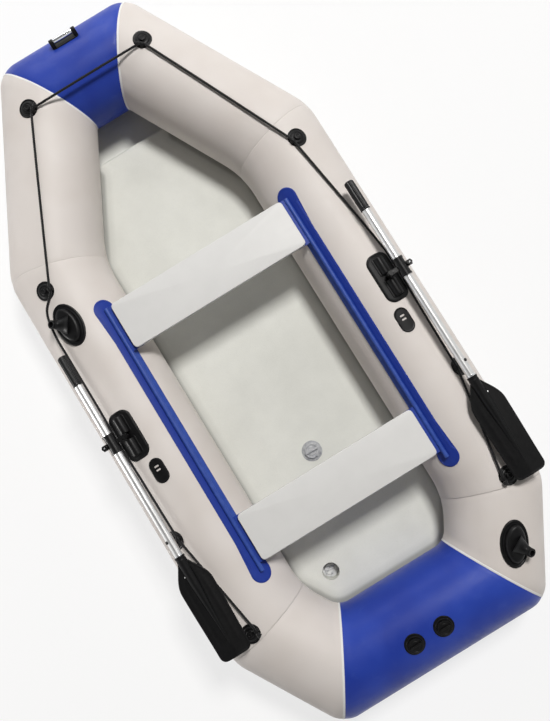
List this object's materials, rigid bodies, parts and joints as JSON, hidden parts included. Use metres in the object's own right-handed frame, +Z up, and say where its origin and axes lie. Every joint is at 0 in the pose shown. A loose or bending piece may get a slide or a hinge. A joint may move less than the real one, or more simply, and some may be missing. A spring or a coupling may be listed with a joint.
{
  "type": "inflatable rowing boat",
  "caption": "Inflatable rowing boat with tapered ends, air floor, sliding seat boards on rails, clamp oarlocks with oars, a grab line through eyelets and a bow handle.",
  "frame": {"origin": "on the ground, under the middle of the hull", "axes": "+Y to the bow, +X to starboard, +Z up"},
  "size_m": [1.304, 2.7, 0.4095],
  "materials": {
    "light_grey_pvc": "satin coated fabric",
    "blue_pvc": "satin coated fabric",
    "floor_pvc": "fine textured coated fabric",
    "blue_rail_rubber": "matt",
    "white_seat_board": "painted",
    "black_rubber": "matt",
    "black_plastic": "satin",
    "grey_valve_plastic": "mottled",
    "bright_aluminium": "bright drawn",
    "stainless_steel": "polished",
    "black_rope": "braided"
  },
  "bodies": {
    "hull": {"bow_tube": "blue_pvc", "stern_tube": "blue_pvc", "bow_baffle": "light_grey_pvc", "stern_baffle": "light_grey_pvc", "bottom_sheet": "floor_pvc", "air_deck_floor": "floor_pvc", "drain_seat": "grey_valve_plastic", "floor_valve_body": "grey_valve_plastic", "starboard_quarter_horn_fitting": "black_rubber", "port_bow_horn_fitting": "black_rubber", "bow_handle_base": "black_rubber", "grab_line": "black_rope", "starboard_forward_tube": "light_grey_pvc", "starboard_side_tube": "light_grey_pvc", "starboard_quarter_tube": "light_grey_pvc", "starboard_stern_valve_body": "black_rubber", "starboard_seat_rail": "blue_rail_rubber", "starboard_oarlock_pad": "black_rubber", "starboard_slotted_pad": "black_rubber", "starboard_bow_eyelet": "black_rubber", "starboard_shoulder_eyelet": "black_rubber", "starboard_aft_eyelet": "black_rubber", "starboard_stern_eyelet": "black_rubber", "port_forward_tube": "light_grey_pvc", "port_side_tube": "light_grey_pvc", "port_quarter_tube": "light_grey_pvc", "port_stern_valve_body": "black_rubber", "port_seat_rail": "blue_rail_rubber", "port_oarlock_pad": "black_rubber", "port_slotted_pad": "black_rubber", "port_bow_eyelet": "black_rubber", "port_shoulder_eyelet": "black_rubber", "port_aft_eyelet": "black_rubber", "port_stern_eyelet": "black_rubber"},
    "front_seat": {"front_seat_board": "white_seat_board", "front_seat_starboard_bead": "blue_rail_rubber", "front_seat_port_bead": "blue_rail_rubber"},
    "rear_seat": {"rear_seat_board": "white_seat_board", "rear_seat_starboard_bead": "blue_rail_rubber", "rear_seat_port_bead": "blue_rail_rubber"},
    "starboard_swivel": {"starboard_oarlock_swivel": "black_plastic"},
    "starboard_clamp": {"starboard_oar_clamp": "black_plastic"},
    "starboard_thumb_screw": {"starboard_clamp_screw": "black_plastic"},
    "starboard_oar": {"starboard_oar_shaft": "bright_aluminium", "starboard_oar_grip": "black_plastic", "starboard_oar_blade": "black_plastic"},
    "starboard_button": {"starboard_snap_button": "black_plastic"},
    "starboard_valve_cap": {"starboard_stern_valve_cap": "black_rubber"},
    "port_swivel": {"port_oarlock_swivel": "black_plastic"},
    "port_clamp": {"port_oar_clamp": "black_plastic"},
    "port_thumb_screw": {"port_clamp_screw": "black_plastic"},
    "port_oar": {"port_oar_shaft": "bright_aluminium", "port_oar_grip": "black_plastic", "port_oar_blade": "black_plastic"},
    "port_button": {"port_snap_button": "black_plastic"},
    "port_valve_cap": {"port_stern_valve_cap": "black_rubber"},
    "floor_cap": {"floor_valve_cap": "grey_valve_plastic"},
    "plug": {"drain_plug": "grey_valve_plastic"},
    "handle_grip": {"bow_handle_grip": "stainless_steel"}
  },
  "joints": [
    {"name": "front_seat_slide", "type": "slide", "parent": "hull", "child": "front_seat", "axis": [0, 1, 0], "range_m": [-0.33, 0]},
    {"name": "rear_seat_slide", "type": "slide", "parent": "hull", "child": "rear_seat", "axis": [0, 1, 0], "range_m": [-0.028, 0.33]},
    {"name": "starboard_oar_lift", "type": "hinge", "parent": "hull", "child": "starboard_swivel", "pos_m": [0.5341, -0.088, 0.3519], "axis": [0, -1, 0], "range_deg": [-20, 4]},
    {"name": "starboard_oar_swing", "type": "hinge", "parent": "starboard_swivel", "child": "starboard_clamp", "pos_m": [0.5341, -0.088, 0.3519], "axis": [0, 0, 1], "range_deg": [0, 130]},
    {"name": "starboard_oar_feather", "type": "hinge", "parent": "starboard_clamp", "child": "starboard_oar", "pos_m": [0.5811, -0.088, 0.3879], "axis": [0, 1, 0], "range_deg": [0, 90]},
    {"name": "starboard_thumb_screw_turn", "type": "hinge", "parent": "starboard_clamp", "child": "starboard_thumb_screw", "pos_m": [0.6109, -0.088, 0.3879], "axis": [0, 0, 1], "range_deg": [0, 360]},
    {"name": "starboard_button_press", "type": "slide", "parent": "starboard_oar", "child": "starboard_button", "axis": [-0.7071, 0, -0.7071], "range_m": [0, 0.003], "stiffness_N_per_m": 400, "springref_m": -0.001},
    {"name": "starboard_valve_cap_turn", "type": "hinge", "parent": "hull", "child": "starboard_valve_cap", "pos_m": [0.0575, -1.1987, 0.3465], "axis": [0, -0.1305, 0.9914], "range_deg": [0, 270]},
    {"name": "port_oar_lift", "type": "hinge", "parent": "hull", "child": "port_swivel", "pos_m": [-0.5341, -0.088, 0.3519], "axis": [0, 1, 0], "range_deg": [-20, 4]},
    {"name": "port_oar_swing", "type": "hinge", "parent": "port_swivel", "child": "port_clamp", "pos_m": [-0.5341, -0.088, 0.3519], "axis": [0, 0, -1], "range_deg": [0, 130]},
    {"name": "port_oar_feather", "type": "hinge", "parent": "port_clamp", "child": "port_oar", "pos_m": [-0.5811, -0.088, 0.3879], "axis": [0, -1, 0], "range_deg": [0, 90]},
    {"name": "port_thumb_screw_turn", "type": "hinge", "parent": "port_clamp", "child": "port_thumb_screw", "pos_m": [-0.6109, -0.088, 0.3879], "axis": [0, 0, 1], "range_deg": [0, 360]},
    {"name": "port_button_press", "type": "slide", "parent": "port_oar", "child": "port_button", "axis": [0.7071, 0, -0.7071], "range_m": [0, 0.003], "stiffness_N_per_m": 400, "springref_m": -0.001},
    {"name": "port_valve_cap_turn", "type": "hinge", "parent": "hull", "child": "port_valve_cap", "pos_m": [-0.0575, -1.1987, 0.3465], "axis": [0, -0.1305, 0.9914], "range_deg": [0, 270]},
    {"name": "floor_cap_turn", "type": "hinge", "parent": "hull", "child": "floor_cap", "pos_m": [-0.016, -0.478, 0.08], "axis": [0, 0, 1], "range_deg": [0, 270]},
    {"name": "drain_plug_turn", "type": "hinge", "parent": "hull", "child": "plug", "pos_m": [-0.191, -0.898, 0.02], "axis": [0, 0, 1], "range_deg": [0, 270]},
    {"name": "bow_handle_roll", "type": "hinge", "parent": "hull", "child": "handle_grip", "pos_m": [0, 1.2735, 0.34287], "axis": [1, 0, 0], "continuous": true}
  ]
}
